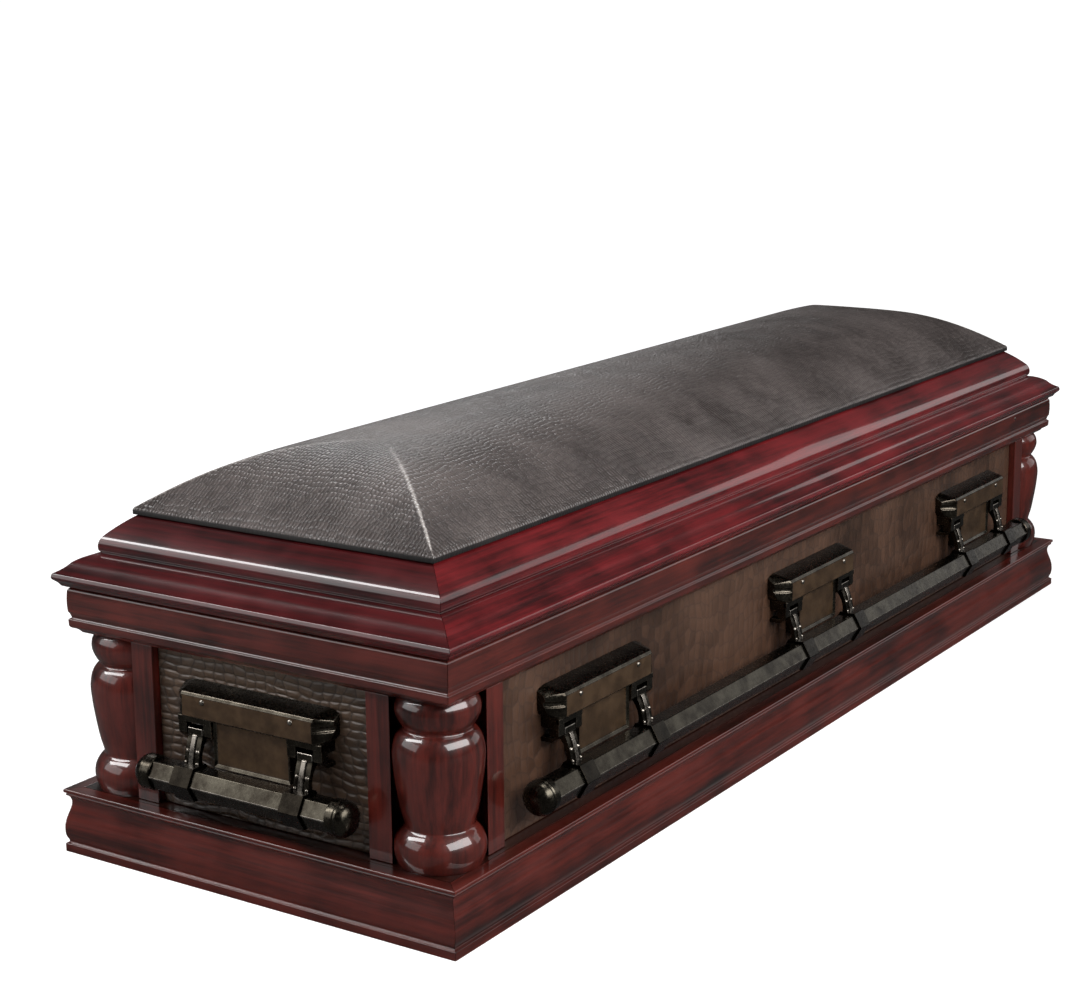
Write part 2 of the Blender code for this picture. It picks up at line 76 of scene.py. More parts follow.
BASE_STOCK = 0.034
BASE_RELIEF = 0.0095
BOARD_THICKNESS = 0.018
BOARD_REBATE = 0.012

COLUMN_RADIUS = 0.0615
COLUMN_INSET = 0.077
NICHE_RADIUS = 0.0633
POST_SETBACK = 0.030
POST_WALL = 0.0177
POST_REACH = COLUMN_INSET + NICHE_RADIUS + POST_WALL
PANEL_SETBACK = 0.042
PANEL_THICKNESS = 0.020

RAIL_SETBACK = 0.0136
RAIL_RELIEF = 0.0145
RAIL_INNER = 0.088
LID_SETBACK = 0.0005
LID_UNDERCUT = 0.0165
LID_INNER = 0.112
LID_COVE = 0.0045
LID_SEAT_BEVEL = 0.004

DOME_BOTTOM = 0.4918
DOME_SETBACK = 0.0838
LEATHER_EDGE = 0.0085
DOME_RISE = 0.0848
DOME_RIM = 0.030
DOME_SHELL = 0.012
DOME_FULLNESS = 2.576
DOME_HIP_BLEND = 0.193
DOME_END_RATIO = 0.912

EAR_SPACING = 0.671
HOOD_LENGTH = 0.268
HOOD_END = 0.017
HOOD_DEPTH = 0.034
HOOD_END_DEPTH = 0.013
HOOD_HEIGHT = 0.045
HOOD_FRONT_HEIGHT = 0.0345
HOOD_BOTTOM = 0.2425
WINDOW_HEIGHT = 0.0665
WINDOW_DEPTH = 0.025
WINDOW_RIM = 0.0045
WINDOW_SINK = 0.003
CHEEK_WIDTH = 0.0145
CHEEK_HEIGHT = 0.034
CHEEK_DEPTH = 0.029

ARM_SPREAD = 0.0955
ARM_WIDTH = 0.026
SLOT_WIDTH = 0.030
WINDOW_HALF = ARM_SPREAD - SLOT_WIDTH / 2 - CHEEK_WIDTH + 0.0008
ARM_THICKNESS = 0.009
ARM_BOW = 0.006
PIVOT_DEPTH = 0.018
PIVOT_SETBACK = 0.0237
PIVOT_HEIGHT = 0.222
PIVOT_RADIUS = 0.006
HEAD_RADIUS = 0.0064
HEAD_LENGTH = 0.053
BAR_REACH = 0.023
BAR_DROP = 0.066
SLEEVE_WIDTH = 0.034
SLEEVE_WALL = 0.0035
BAR_FLATS = 0.040
BAR_OVERHANG = 0.185
END_BAR_OVERHANG = 0.163
CAP_RADIUS = 0.025
CAP_GRIP = 0.010
CAP_LENGTH = 0.022

# Sizes that only show in the finish
EDGE_SOFTNESS = 0.0009
MITRE_SOFTNESS = 0.0009
POST_SOFTNESS = 0.0012
PANEL_SOFTNESS = 0.002
BRONZE_EDGE = 0.0008
BORDER_WIDTH = 0.006
BORDER_DEPTH = 0.0006
BORDER_GROOVE = 0.0011
LEATHER_WRAP = 0.0022
LEATHER_PUCKER = 0.0006
NICHE_STEPS = 40
COLUMN_SEGMENTS = 72
HOLLOW_STEPS = 12
DOME_STEPS = 34
HOOD_STEPS = 8
HOOD_LIFT = 0.013
HOOD_DIP = 0.0050
HOOD_GROOVE = 0.0045
SCREW_RADIUS = 0.0042
SCREW_SPREAD = 0.0765
SCREW_RISE = 0.026
RIB_WIDTH = 0.008
RIB_STAND = 0.0025
LUG_LIP = 0.0075
LUG_LIP_STAND = 0.0012
KNUCKLE_FRONT = 0.0105
KNUCKLE_TOP = 0.0055
STUD_RADIUS = 0.0038
LOW_STUD_RADIUS = 0.0028
PIN_RADIUS = 0.0042
PIN_ALONG = 0.855
PIN_SETBACK = 0.0158
PIN_HEIGHT = 0.379
STUD_PLACE = (0.0085, -0.0165, -0.026)
LOW_STUD_PLACE = (0.0100, -0.0205, -0.0415)
SLEEVE_SOFTNESS = 0.0007
LIP_SOFTNESS = 0.0011
KNUCKLE_SOFTNESS = 0.0012
BAR_SOFTNESS = 0.0013
RIB_SOFTNESS = 0.0022

# Shares in the finish of the wood and of the embossed scales
PORE_DEPTH = 0.6
CRACK_WIDTH = 0.10
RIB_SHARE = 0.8

# The camera, as fitted to the photograph
PHOTO_WIDTH = 1079  # pixels
FOCAL_LENGTH = 2169.4  # pixels of the photograph
SENSOR_WIDTH = 36.0  # millimetres
CAMERA_PLACE = (-3.12712, -1.83785, 1.19756)
CAMERA_AZIMUTH, CAMERA_ELEVATION, CAMERA_ROLL = -56.636, 13.031, -0.475  # degrees

# Places of the metals in a handle's list of materials
METALS = ["bronze", "bright", "plate", "worn", "sleeve"]
BRIGHT, PLATE, WORN, SLEEVE = 1, 2, 3, 4

# Each side's turn from the front in degrees, its distance from the middle, and its half length
SIDES = {
    "front": (0, HALF_WIDTH, HALF_LENGTH),
    "right": (90, HALF_LENGTH, HALF_WIDTH),
    "back": (180, HALF_WIDTH, HALF_LENGTH),
    "left": (270, HALF_LENGTH, HALF_WIDTH),
}
# Where the middles of the ears stand along each side
EARS = {
    "front": (-EAR_SPACING, 0.0, EAR_SPACING),
    "right": (0.0,),
    "back": (-EAR_SPACING, 0.0, EAR_SPACING),
    "left": (0.0,),
}


# Shader helpers


def place_node(tree, kind, inputs=None, **settings):
    """Adds a shader node. An input is a plain value, or a socket to link from."""
    made = tree.nodes.new(kind)
    for name, value in settings.items():
        setattr(made, name, value)
    for socket, value in (inputs or {}).items():
        if isinstance(value, bpy.types.NodeSocket):
            tree.links.new(value, made.inputs[socket])
        else:
            made.inputs[socket].default_value = value
    return made


def blend_colour(tree, share, first, second, mode="MIX"):
    made = place_node(
        tree,
        "ShaderNodeMix",
        {0: share, 6: first, 7: second},
        data_type="RGBA",
        blend_type=mode,
    )
    return made.outputs[2]


def sum_of(tree, first, second, kind="ADD"):
    return place_node(tree, "ShaderNodeMath", {0: first, 1: second}, operation=kind).outputs[0]


def share_of(tree, value, share):
    return sum_of(tree, value, share, "MULTIPLY")


def vector_math(tree, kind, inputs):
    return place_node(tree, "ShaderNodeVectorMath", inputs, operation=kind).outputs[0]


def ranged(tree, value, low, high, to_low=0.0, to_high=1.0):
    """Maps a value from one range to another, smoothly and clamped."""
    made = place_node(
        tree,
        "ShaderNodeMapRange",
        {"Value": value, "From Min": low, "From Max": high, "To Min": to_low, "To Max": to_high},
        interpolation_type="SMOOTHSTEP",
    )
    return made.outputs[0]


def cloud(tree, vector, scale, detail, roughness, stretch=None):
    """A noise value, finer or coarser along each axis where it is stretched."""
    if stretch is not None:
        stretched = place_node(tree, "ShaderNodeMapping", {"Vector": vector, "Scale": stretch})
        vector = stretched.outputs[0]
    made = place_node(
        tree,
        "ShaderNodeTexNoise",
        {"Vector": vector, "Scale": scale, "Detail": detail, "Roughness": roughness},
    )
    return made.outputs[0]


def cells(tree, vector, feature):
    """Cells in fairly regular rows, one to a unit, over the first two coordinates."""
    made = place_node(
        tree,
        "ShaderNodeTexVoronoi",
        {"Vector": vector, "Scale": 1.0, "Randomness": 0.45},
        voronoi_dimensions="2D",
        feature=feature,
    )
    return made.outputs


def shader_group(name, inputs, outputs):
    """A node group, with the titles and kinds of what goes in and of what comes out."""
    tree = bpy.data.node_groups.new(name, "ShaderNodeTree")
    for flow, sockets in (("INPUT", inputs), ("OUTPUT", outputs)):
        for title, kind in sockets.items():
            tree.interface.new_socket(name=title, in_out=flow, socket_type="NodeSocket" + kind)
    return tree, tree.nodes.new("NodeGroupInput").outputs, tree.nodes.new("NodeGroupOutput")


def mahogany_figure():
    """Ribbon streaks, broad bands and clouds of colour, with the grain along X, and fine pores."""
    tree, given, result = shader_group(
        "mahogany figure",
        {"Vector": "Vector", "Dark": "Color", "Light": "Color"},
        {"Colour": "Color", "Pores": "Float", "Polish": "Float"},
    )
    along = given["Vector"]
    streaks = cloud(tree, along, 4.0, 5.0, 0.6, (1.0, 20.0, 20.0))
    bands = cloud(tree, along, 2.4, 2.0, 0.5, (1.0, 6.0, 6.0))
    mottle = cloud(tree, along, 9.0, 3.0, 0.55)
    grain = cloud(tree, along, 1.0, 3.0, 0.65, (9.0, 260.0, 260.0))
    figure = share_of(tree, streaks, 0.42)
    for layer, weight in ((bands, 0.26), (mottle, 0.36), (grain, 0.24)):
        figure = sum_of(tree, figure, share_of(tree, layer, weight))
    share = ranged(tree, figure, 0.46, 0.80)
    pores = cloud(tree, along, 1.0, 2.0, 0.5, (70.0, 1500.0, 1500.0))
    pores = ranged(tree, pores, 0.30, 0.46)
    colour = blend_colour(tree, share, given["Dark"], given["Light"])
    shade = ranged(tree, pores, 0.0, 1.0, 0.72, 1.0)
    tinted = blend_colour(tree, PORE_DEPTH, (1, 1, 1, 1), shade)
    colour = blend_colour(tree, 1.0, colour, tinted, "MULTIPLY")
    tree.links.new(colour, result.inputs["Colour"])
    tree.links.new(pores, result.inputs["Pores"])
    tree.links.new(ranged(tree, mottle, 0.3, 0.7, 0.30, 0.42), result.inputs["Polish"])
    return tree


def embossed_scales():
    """Rows of reptile scales on soft ribs, one scale to a unit, in lines that wander."""
    tree, given, result = shader_group(
        "embossed scales",
        {"Vector": "Vector", "Wander": "Float"},
        {"Height": "Float", "Crack": "Float", "Tone": "Float"},
    )
    drift = place_node(
        tree, "ShaderNodeTexNoise", {"Vector": given["Vector"], "Scale": 0.11, "Detail": 2.0}
    ).outputs["Color"]
    drift = vector_math(tree, "SUBTRACT", {0: drift, 1: (0.5, 0.5, 0.5)})
    drift = vector_math(tree, "SCALE", {0: drift, "Scale": 3.0})
    drift = vector_math(tree, "SCALE", {0: drift, "Scale": given["Wander"]})
    spot = vector_math(tree, "ADD", {0: given["Vector"], 1: drift})
    edge = cells(tree, spot, "DISTANCE_TO_EDGE")["Distance"]
    cell = cells(tree, spot, "F1")["Color"]
    tone = place_node(tree, "ShaderNodeSeparateColor", {0: cell}).outputs[0]
    across = place_node(tree, "ShaderNodeSeparateXYZ", {0: spot}).outputs[0]
    rib = sum_of(tree, sum_of(tree, across, 0.275), 0.5, "PINGPONG")
    rib = share_of(tree, ranged(tree, rib, 0.0, 0.40), RIB_SHARE)
    tree.links.new(sum_of(tree, ranged(tree, edge, 0.0, 0.34), rib), result.inputs["Height"])
    crack = ranged(tree, edge, 0.0, CRACK_WIDTH, 1.0, 0.0)
    tree.links.new(crack, result.inputs["Crack"])
    tree.links.new(tone, result.inputs["Tone"])
    return tree


def bronze_patina():
    """Uneven brown and green-grey patina with fine scuffs."""
    tree, given, result = shader_group(
        "bronze patina",
        {"Vector": "Vector", "Deep": "Color", "Pale": "Color", "Smooth": "Float"},
        {"Colour": "Color", "Roughness": "Float", "Height": "Float"},
    )
    cast = cloud(tree, given["Vector"], 38.0, 4.0, 0.6)
    scuffs = cloud(tree, given["Vector"], 240.0, 3.0, 0.6)
    share = ranged(tree, sum_of(tree, cast, share_of(tree, scuffs, 0.2)), 0.35, 0.88)
    tree.links.new(blend_colour(tree, share, given["Deep"], given["Pale"]), result.inputs["Colour"])
    rough = sum_of(tree, given["Smooth"], ranged(tree, scuffs, 0.35, 0.7, 0.0, 0.16))
    tree.links.new(rough, result.inputs["Roughness"])
    tree.links.new(cast, result.inputs["Height"])
    return tree


FIGURE = mahogany_figure()
SCALES = embossed_scales()
PATINA = bronze_patina()


def new_material(name, **constants):
    """A material with its shader's constants, the shader, and the piece's own coordinates."""
    made = bpy.data.materials.new(name)
    made.use_nodes = True
    tree = made.node_tree
    shader = tree.nodes["Principled BSDF"]
    for title, value in constants.items():
        shader.inputs[title.replace("_", " ").title().replace("Ior", "IOR")].default_value = value
    coordinates = tree.nodes.new("ShaderNodeTexCoord").outputs["Object"]
    return made, tree, shader, coordinates


def use_group(tree, group, inputs):
    return place_node(tree, "ShaderNodeGroup", inputs, node_tree=group).outputs


def turned_vector(tree, vector, turn=(0, 0, 0), scale=(1, 1, 1), shift=(0, 0, 0)):
    return place_node(
        tree,
        "ShaderNodeMapping",
        {
            "Vector": vector,
            "Rotation": [math.radians(angle) for angle in turn],
            "Scale": scale,
            "Location": shift,
        },
    ).outputs[0]


def add_bump(tree, shader, height, distance, strength):
    bump = place_node(
        tree, "ShaderNodeBump", {"Height": height, "Distance": distance, "Strength": strength}
    )
    tree.links.new(bump.outputs[0], shader.inputs["Normal"])


def mahogany(name, turn, dark, light, shift=(0, 0, 0)):
    """High-gloss lacquer over stained mahogany, with the grain turned to run along the piece."""
    made, tree, shader, spot = new_material(
        name, coat_weight=1.0, coat_roughness=0.05, coat_ior=1.5, specular_ior_level=0.25
    )
    along = turned_vector(tree, spot, turn, shift=shift)
    figure = use_group(tree, FIGURE, {"Vector": along, "Dark": dark, "Light": light})
    tree.links.new(figure["Colour"], shader.inputs["Base Color"])
    tree.links.new(figure["Polish"], shader.inputs["Roughness"])
    ripple = cloud(tree, along, 30.0, 2.0, 0.5, (0.5, 2.0, 2.0))
    height = sum_of(tree, ripple, share_of(tree, figure["Pores"], 0.06))
    add_bump(tree, shader, height, 0.0004, 0.5)
    return made


def scale_leather(
    name, patterns, dark, light, relief, contrast, share=None, highlight=None, **constants
):
    """Leather embossed with scales, dark in the cracks between them.

    A second pattern takes over where the attribute named by share says so, and a painted
    highlight makes the leather pale and smooth where the other named attribute says so.
    """
    made, tree, shader, spot = new_material(name, **constants)
    found = []
    for turn, quarter, scale, wander in patterns:
        vector = turned_vector(tree, turned_vector(tree, spot, turn), (0, 0, quarter), scale)
        found.append(use_group(tree, SCALES, {"Vector": vector, "Wander": wander}))
    values = {}
    for title in ("Height", "Crack", "Tone"):
        value = found[0][title]
        if share is not None:
            taken = place_node(tree, "ShaderNodeAttribute", attribute_name=share).outputs["Fac"]
            value = place_node(
                tree, "ShaderNodeMix", {0: taken, 2: value, 3: found[1][title]}, data_type="FLOAT"
            ).outputs[0]
        values[title] = value
    worn = cloud(tree, spot, 5.5, 4.0, 0.6)
    tone = sum_of(tree, share_of(tree, values["Tone"], 0.16), share_of(tree, worn, 0.84))
    colour = blend_colour(tree, ranged(tree, tone, 0.26, 0.74), dark, light)
    deep = [0.3 * channel for channel in dark[:3]] + [1]
    colour = blend_colour(tree, share_of(tree, values["Crack"], contrast), colour, deep)
    rough = ranged(tree, worn, 0.3, 0.7, 0.36, 0.46)
    rough = sum_of(tree, rough, share_of(tree, values["Crack"], 0.12))
    # Painted highlight: where the second attribute is high (the lid's hips), the colour turns pale
    # and the leather smoother.
    if highlight is not None:
        highlight_share = place_node(tree, "ShaderNodeAttribute", attribute_name=highlight).outputs["Fac"]
        highlight_mask = ranged(tree, sum_of(tree, highlight_share, cloud(tree, spot, 90.0, 3.0, 0.6)), 0.55, 1.5)
        colour = blend_colour(tree, highlight_mask, colour, (0.36, 0.33, 0.31, 1))
        rough = sum_of(tree, rough, share_of(tree, highlight_mask, 0.14), "SUBTRACT")
    tree.links.new(colour, shader.inputs["Base Color"])
    tree.links.new(rough, shader.inputs["Roughness"])
    creases = cloud(tree, spot, 300.0, 3.0, 0.6)
    pucker = cloud(tree, spot, 26.0, 2.0, 0.5)
    height = sum_of(tree, values["Height"], share_of(tree, creases, 0.18))
    height = sum_of(tree, height, share_of(tree, pucker, 0.9))
    add_bump(tree, shader, height, relief, 0.9)
    return made


def bronze(name, deep, pale, smooth, metallic=1.0):
    made, tree, shader, spot = new_material(name, metallic=metallic)
    patina = use_group(tree, PATINA, {"Vector": spot, "Deep": deep, "Pale": pale, "Smooth": smooth})
    tree.links.new(patina["Colour"], shader.inputs["Base Color"])
    tree.links.new(patina["Roughness"], shader.inputs["Roughness"])
    add_bump(tree, shader, patina["Height"], 0.0003, 0.35)
    return made


RED_DARK = (0.0120, 0.0013, 0.0016, 1)
RED_LIGHT = (0.135, 0.0072, 0.0095, 1)
# The lid's ends take a darker copy of the lid's red: painted shade for the ends, which the light
# reaches less.
RED_END_SHADED_DARK = (0.0070, 0.0008, 0.0010, 1)
RED_END_SHADED_LIGHT = (0.070, 0.0036, 0.0050, 1)
BROWN_DARK = (0.0088, 0.0019, 0.0014, 1)
BROWN_LIGHT = (0.084, 0.0098, 0.0058, 1)

looks = {
    "lid_long": mahogany("mahogany lid sides", (0, 0, 0), RED_DARK, RED_LIGHT),
    # Painted shade: the lid's end mouldings use the darker copy of the lid's red.
    "lid_end": mahogany(
        "mahogany lid ends, darkened as painted shade", (0, 0, -90), RED_END_SHADED_DARK, RED_END_SHADED_LIGHT, (3, 1, 0)
    ),
    "body_long": mahogany(
        "mahogany base and rail sides", (0, 0, 0), BROWN_DARK, BROWN_LIGHT, (7, 2, 1)
    ),
    "body_end": mahogany(
        "mahogany base and rail ends", (0, 0, -90), BROWN_DARK, BROWN_LIGHT, (5, 4, 2)
    ),
    "upright": mahogany("mahogany uprights", (0, 90, 0), BROWN_DARK, BROWN_LIGHT, (9, 3, 3)),
    "board": mahogany(
        "dark stained board", (0, 0, 0), (0.006, 0.002, 0.001, 1), (0.03, 0.006, 0.004, 1)
    ),
    "lid_leather": scale_leather(
        "lid leather",
        [((0, 0, 0), 0, (165.0, 110.0, 1.0), 1.0), ((0, 0, -90), 0, (165.0, 110.0, 1.0), 1.0)],
        (0.031, 0.0240, 0.0222, 1),
        (0.092, 0.0750, 0.0700, 1),
        0.0008,
        0.62,
        share="end_slope",
        # The hips take a painted highlight, pale and smooth, fading up from the eaves.
        highlight="hip",
        specular_ior_level=0.5,
    ),
    # Nearly black leather for the dome's edge: painted shade for the dark line below the leather's
    # rim.
    "lid_edge_shade": scale_leather(
        "lid leather edge, dark as painted shade",
        [((0, 0, 0), 0, (165.0, 110.0, 1.0), 1.0)],
        (0.003, 0.002, 0.002, 1),
        (0.007, 0.005, 0.0045, 1),
        0.0002,
        0.5,
    ),
    "panel_long": scale_leather(
        "side panel leather",
        [((90, 0, 0), 0, (62.0, 42.0, 1.0), 1.3)],
        (0.023, 0.0108, 0.0060, 1),
        (0.072, 0.0345, 0.0195, 1),
        0.0004,
        0.36,
    ),
    "panel_end": scale_leather(
        "end panel leather",
        [((90, 90, 0), 90, (52.0, 82.0, 1.0), 1.2)],
        (0.020, 0.0110, 0.0062, 1),
        (0.068, 0.0400, 0.0235, 1),
        0.0010,
        0.6,
    ),
    "bronze": bronze("antique bronze", (0.021, 0.017, 0.013, 1), (0.074, 0.066, 0.051, 1), 0.20),
    "bright": bronze(
        "bronze edges, rubbed bright", (0.15, 0.13, 0.11, 1), (0.36, 0.33, 0.29, 1), 0.22
    ),
    "worn": bronze(
        "bronze, worn on the edges", (0.05, 0.042, 0.032, 1), (0.15, 0.13, 0.105, 1), 0.24
    ),
    "sleeve": bronze(
        "blackened bronze", (0.008, 0.0065, 0.005, 1), (0.024, 0.020, 0.015, 1), 0.22
    ),
    "plate": bronze(
        "brown bronze plate", (0.038, 0.021, 0.010, 1), (0.084, 0.049, 0.025, 1), 0.32, 0.5
    ),
}


# Modelling helpers


def on_side(side, along=0.0, setback=0.0, up=0.0):
    """Where a piece goes on a side of the casket, modelled with its outer face towards -Y."""
    turn, distance, _ = SIDES[side]
    moved = Matrix.Translation((along, setback - distance, up))
    return Matrix.Rotation(math.radians(turn), 4, "Z") @ moved


def add_piece(name, bm, body, materials, place=None, smooth=32, crisp=True):
    """Sets a modelled piece in place, on its body and with its materials.

    A crisp piece is shaded by the area of its faces, so its flats stay flat beside rounded edges.
    """
    if place is not None:
        bmesh.ops.transform(bm, matrix=place, verts=bm.verts)
    bmesh.ops.recalc_face_normals(bm, faces=bm.faces)
    mesh = bpy.data.meshes.new(name)
    bm.to_mesh(mesh)
    bm.free()
    mesh.shade_smooth()
    mesh.set_sharp_from_angle(angle=math.radians(smooth))
    for look in materials:
        mesh.materials.append(looks[look])
    piece = bpy.data.objects.new(name, mesh)
    bpy.context.scene.collection.objects.link(piece)
    if crisp:
        weighted = piece.modifiers.new("crisp flats", "WEIGHTED_NORMAL")
        weighted.keep_sharp = True
    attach(piece, body)
    return piece


def dress_node(node, bm, materials, place=None, smooth=32, crisp=True):
    """Lets a modelled piece stand for the solid of a node."""
    body = frame["nodes"][node]["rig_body"]
    piece = add_piece(node, bm, body, materials, place, smooth, crisp)
    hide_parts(node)


def gather(shells):
    """Several closed shells as one piece."""
    whole = bmesh.new()
    for shell in shells:
        part = bpy.data.meshes.new("shell")
        shell.to_mesh(part)
        shell.free()
        whole.from_mesh(part)
        bpy.data.meshes.remove(part)
    return whole


def soften(bm, width, segments=2, least=24, edges=None, look=0):
    """Rounds the edges that are sharper than an angle. The new faces may take another material."""
    bmesh.ops.recalc_face_normals(bm, faces=bm.faces)
    if edges is None:
        edges = [
            edge
            for edge in bm.edges
            if len(edge.link_faces) == 2 and edge.calc_face_angle(0.0) > math.radians(least)
        ]
    made = bmesh.ops.bevel(
        bm,
        geom=edges,
        offset=width,
        offset_type="OFFSET",
        segments=segments,
        profile=0.5,
        affect="EDGES",
        clamp_overlap=True,
        material=-1,
    )
    for face in made["faces"]:
        face.material_index = look


def paint(bm, index, wanted=None):
    for face in bm.faces:
        if wanted is None or wanted(face):
            face.material_index = index


def bowed(nodes, steps=8):
    """Points of an outline. A node is (a, b) or (a, b, bow), where bow is the height of the arc
    that leads on to the next node, positive to the left of the way there."""
    points = []
    for node, following in zip(nodes, nodes[1:] + nodes[:1]):
        start, end = Vector(node[:2]), Vector(following[:2])
        points.append(tuple(start))
        bow = node[2] if len(node) > 2 else 0.0
        if bow == 0.0:
            continue
        chord = end - start
        side = Vector((-chord.y, chord.x)).normalized()
        half = chord.length / 2
        radius = (half * half + bow * bow) / (2 * abs(bow))
        centre = (start + end) / 2 - side * math.copysign(radius - abs(bow), bow)
        spread = 2 * math.asin(min(1.0, half / radius))
        turn = -math.copysign(spread, bow) / steps
        for step in range(1, steps):
            points.append(tuple(centre + Matrix.Rotation(turn * step, 2) @ (start - centre)))
    return points


def extruded(bm, face, vector):
    grown = bmesh.ops.extrude_face_region(bm, geom=[face])
    moved = [item for item in grown["geom"] if isinstance(item, bmesh.types.BMVert)]
    bmesh.ops.translate(bm, vec=vector, verts=moved)
    return moved


def prism(outline, start, end):
    """A solid along X between start and end, with its outline in (outward, up)."""
    bm = bmesh.new()
    face = bm.faces.new([bm.verts.new((start, -outward, up)) for outward, up in outline])
    extruded(bm, face, (end - start, 0, 0))
    return bm


def block(low, high):
    bm = bmesh.new()
    bmesh.ops.create_cube(bm, size=1.0)
    bmesh.ops.scale(bm, vec=[top - bottom for bottom, top in zip(low, high)], verts=bm.verts)
    middle = [(top + bottom) / 2 for bottom, top in zip(low, high)]
    bmesh.ops.translate(bm, vec=middle, verts=bm.verts)
    return bm


def lofted(rings):
    """A closed solid through rings of points."""
    bm = bmesh.new()
    loops = []
    for ring in rings:
        verts = [bm.verts.new(point) for point in ring]
        loops.append([bm.edges.new(pair) for pair in zip(verts, verts[1:] + verts[:1])])
    bm.faces.new([edge.verts[0] for edge in loops[0]])
    bm.faces.new([edge.verts[0] for edge in loops[-1]])
    for loop, following in zip(loops, loops[1:]):
        bmesh.ops.bridge_loops(bm, edges=loop + following)
    return bm


def spun(profile, segments, axis="Z"):
    """A solid of revolution from a profile of (radius, distance along the axis)."""
    bm = bmesh.new()
    points = [bm.verts.new((radius, 0, along)) for radius, along in profile]
    edges = [bm.edges.new(pair) for pair in zip(points, points[1:])]
    bmesh.ops.spin(
        bm,
        geom=points + edges,
        cent=(0, 0, 0),
        axis=(0, 0, 1),
        dvec=(0, 0, 0),
        angle=2 * math.pi,
        steps=segments,
        use_merge=True,
        use_duplicate=False,
    )
    bmesh.ops.remove_doubles(bm, verts=bm.verts, dist=1e-6)
    if axis == "X":
        bmesh.ops.rotate(bm, verts=bm.verts, matrix=Matrix.Rotation(math.pi / 2, 3, "Y"))
    if axis == "-Y":
        bmesh.ops.rotate(bm, verts=bm.verts, matrix=Matrix.Rotation(math.pi / 2, 3, "X"))
    return bm


def smooth_line(points, steps):
    """A smooth line through the points."""
    held = [Vector(point) for point in points]
    held = [2 * held[0] - held[1]] + held + [2 * held[-1] - held[-2]]
    line = []
    for a, b, c, d in zip(held, held[1:], held[2:], held[3:]):
        for step in range(steps):
            t = step / steps
            square = (2 * a - 5 * b + 4 * c - d) * t * t
            cube = (3 * b - a - 3 * c + d) * t**3
            line.append(0.5 * (2 * b + (c - a) * t + square + cube))
    line.append(held[-2])
    return [tuple(point) for point in line]


# Mouldings


def from_shares(start, width, bottom, height, shares):
    """Nodes for an outline, from shares of a width and of a height, with bows as shares too."""
    return [
        (start + inset * width, bottom + up * height, *[bow * width for bow in bows])
        for inset, up, *bows in shares
    ]


def base_outline():
    """Bead, long ogee, astragal and thin top lip, then the rebate that carries the board."""
    relief, height = BASE_RELIEF, BASE_HEIGHT
    ledge = height - BOARD_THICKNESS - CLEARANCE
    bead = [(0.0, 0.127), (0.42, 0.152)]
    ogee = [(0.42, 0.178), (0.13, 0.250), (0.03, 0.340), (0.08, 0.440), (0.30, 0.545)]
    ogee += [(0.63, 0.650), (0.86, 0.735), (0.90, 0.805), (0.72, 0.865), (0.46, 0.890)]
    top = [(0.46, 0.890, 0.14), (0.40, 0.930), (0.05, 0.950), (0.05, 0.985), (0.15, 1.0)]
    return bowed(
        [
            (BASE_STOCK, 0.0),
            (0.0, 0.0),
            *from_shares(0.0, relief, 0.0, height, bead),
            *smooth_line(from_shares(0.0, relief, 0.0, height, ogee), 4)[:-1],
            *from_shares(0.0, relief, 0.0, height, top),
            (BASE_STOCK - BOARD_REBATE, height),
            (BASE_STOCK - BOARD_REBATE, ledge),
            (BASE_STOCK, ledge),
        ]
    )


def rail_outline():
    """A stepped underside, a bead, a small shelf and a face with a rounded top edge."""
    face = [(1.0, 0.0, -0.08), (0.42, 0.110, 0.10), (0.13, 0.200), (0.11, 0.305)]
    face += [(0.36, 0.335, -0.04), (0.12, 0.470, 0.05), (0.12, 0.905, 0.12), (0.50, 1.0)]
    return bowed(
        [
            (RAIL_INNER, RAIL_BOTTOM),
            *from_shares(RAIL_SETBACK, RAIL_RELIEF, RAIL_BOTTOM, RAIL_HEIGHT, face),
            (RAIL_INNER, RAIL_BOTTOM + RAIL_HEIGHT),
        ]
    )


def lid_outline():
    """A nose, a long sweep up to a quirk, and a thumb moulding up to the dome's seat."""
    run = DOME_SETBACK + LID_COVE - LID_SETBACK
    bottom, height = LID_BOTTOM, LID_MOULDING_HEIGHT
    nose = [(1.0, 0.0), (0.60, 0.030, -0.05), (0.12, 0.120), (0.0, 0.155)]
    sweep = [(0.018, 0.212, -0.016), (0.240, 0.355, 0.014), (0.495, 0.455), (0.585, 0.470)]
    thumb = [(0.548, 0.505, 0.034), (0.618, 0.720, 0.012), (1.0, 0.988)]
    return bowed(
        [
            (LID_INNER, bottom),
            *from_shares(LID_SETBACK, LID_UNDERCUT, bottom, height, nose),
            *from_shares(LID_SETBACK, run, bottom, height, sweep + thumb),
            (LID_SETBACK + run + LID_SEAT_BEVEL, bottom + height),
            (LID_INNER, bottom + height),
        ]
    )


def mitred_length(node, outline, side, look):
    """One length of a moulding with mitred ends. The outline is in (inset, height)."""
    half = SIDES[side][2]
    trim = MITRE_GAP / math.sqrt(2)
    bm = bmesh.new()
    start = [bm.verts.new((inset - half + trim, inset, height)) for inset, height in outline]
    for vert in extruded(bm, bm.faces.new(start), (0, 0, 0)):
        vert.co.x = -vert.co.x
    bmesh.ops.recalc_face_normals(bm, faces=bm.faces)
    runs = [edge for edge in bm.edges if edge.calc_length() > half]
    corners = [edge for edge in runs if edge.calc_face_angle() > math.radians(20)]
    soften(bm, EDGE_SOFTNESS, 3, edges=corners)
    ends = [face for face in bm.faces if abs(face.normal.x) > 0.5]
    rims = {edge for face in ends for edge in face.edges}
    soften(bm, MITRE_SOFTNESS, 2, edges=list(rims))
    dress_node(node, bm, [look], on_side(side))


def make_mouldings():
    for side in SIDES:
        run = "end" if side in ("left", "right") else "long"
        mitred_length("base_" + side, base_outline(), side, "body_" + run)
        mitred_length("rail_" + side, rail_outline(), side, "body_" + run)
        mitred_length("lid_" + side, lid_outline(), side, "lid_" + run)


# Corners and walls


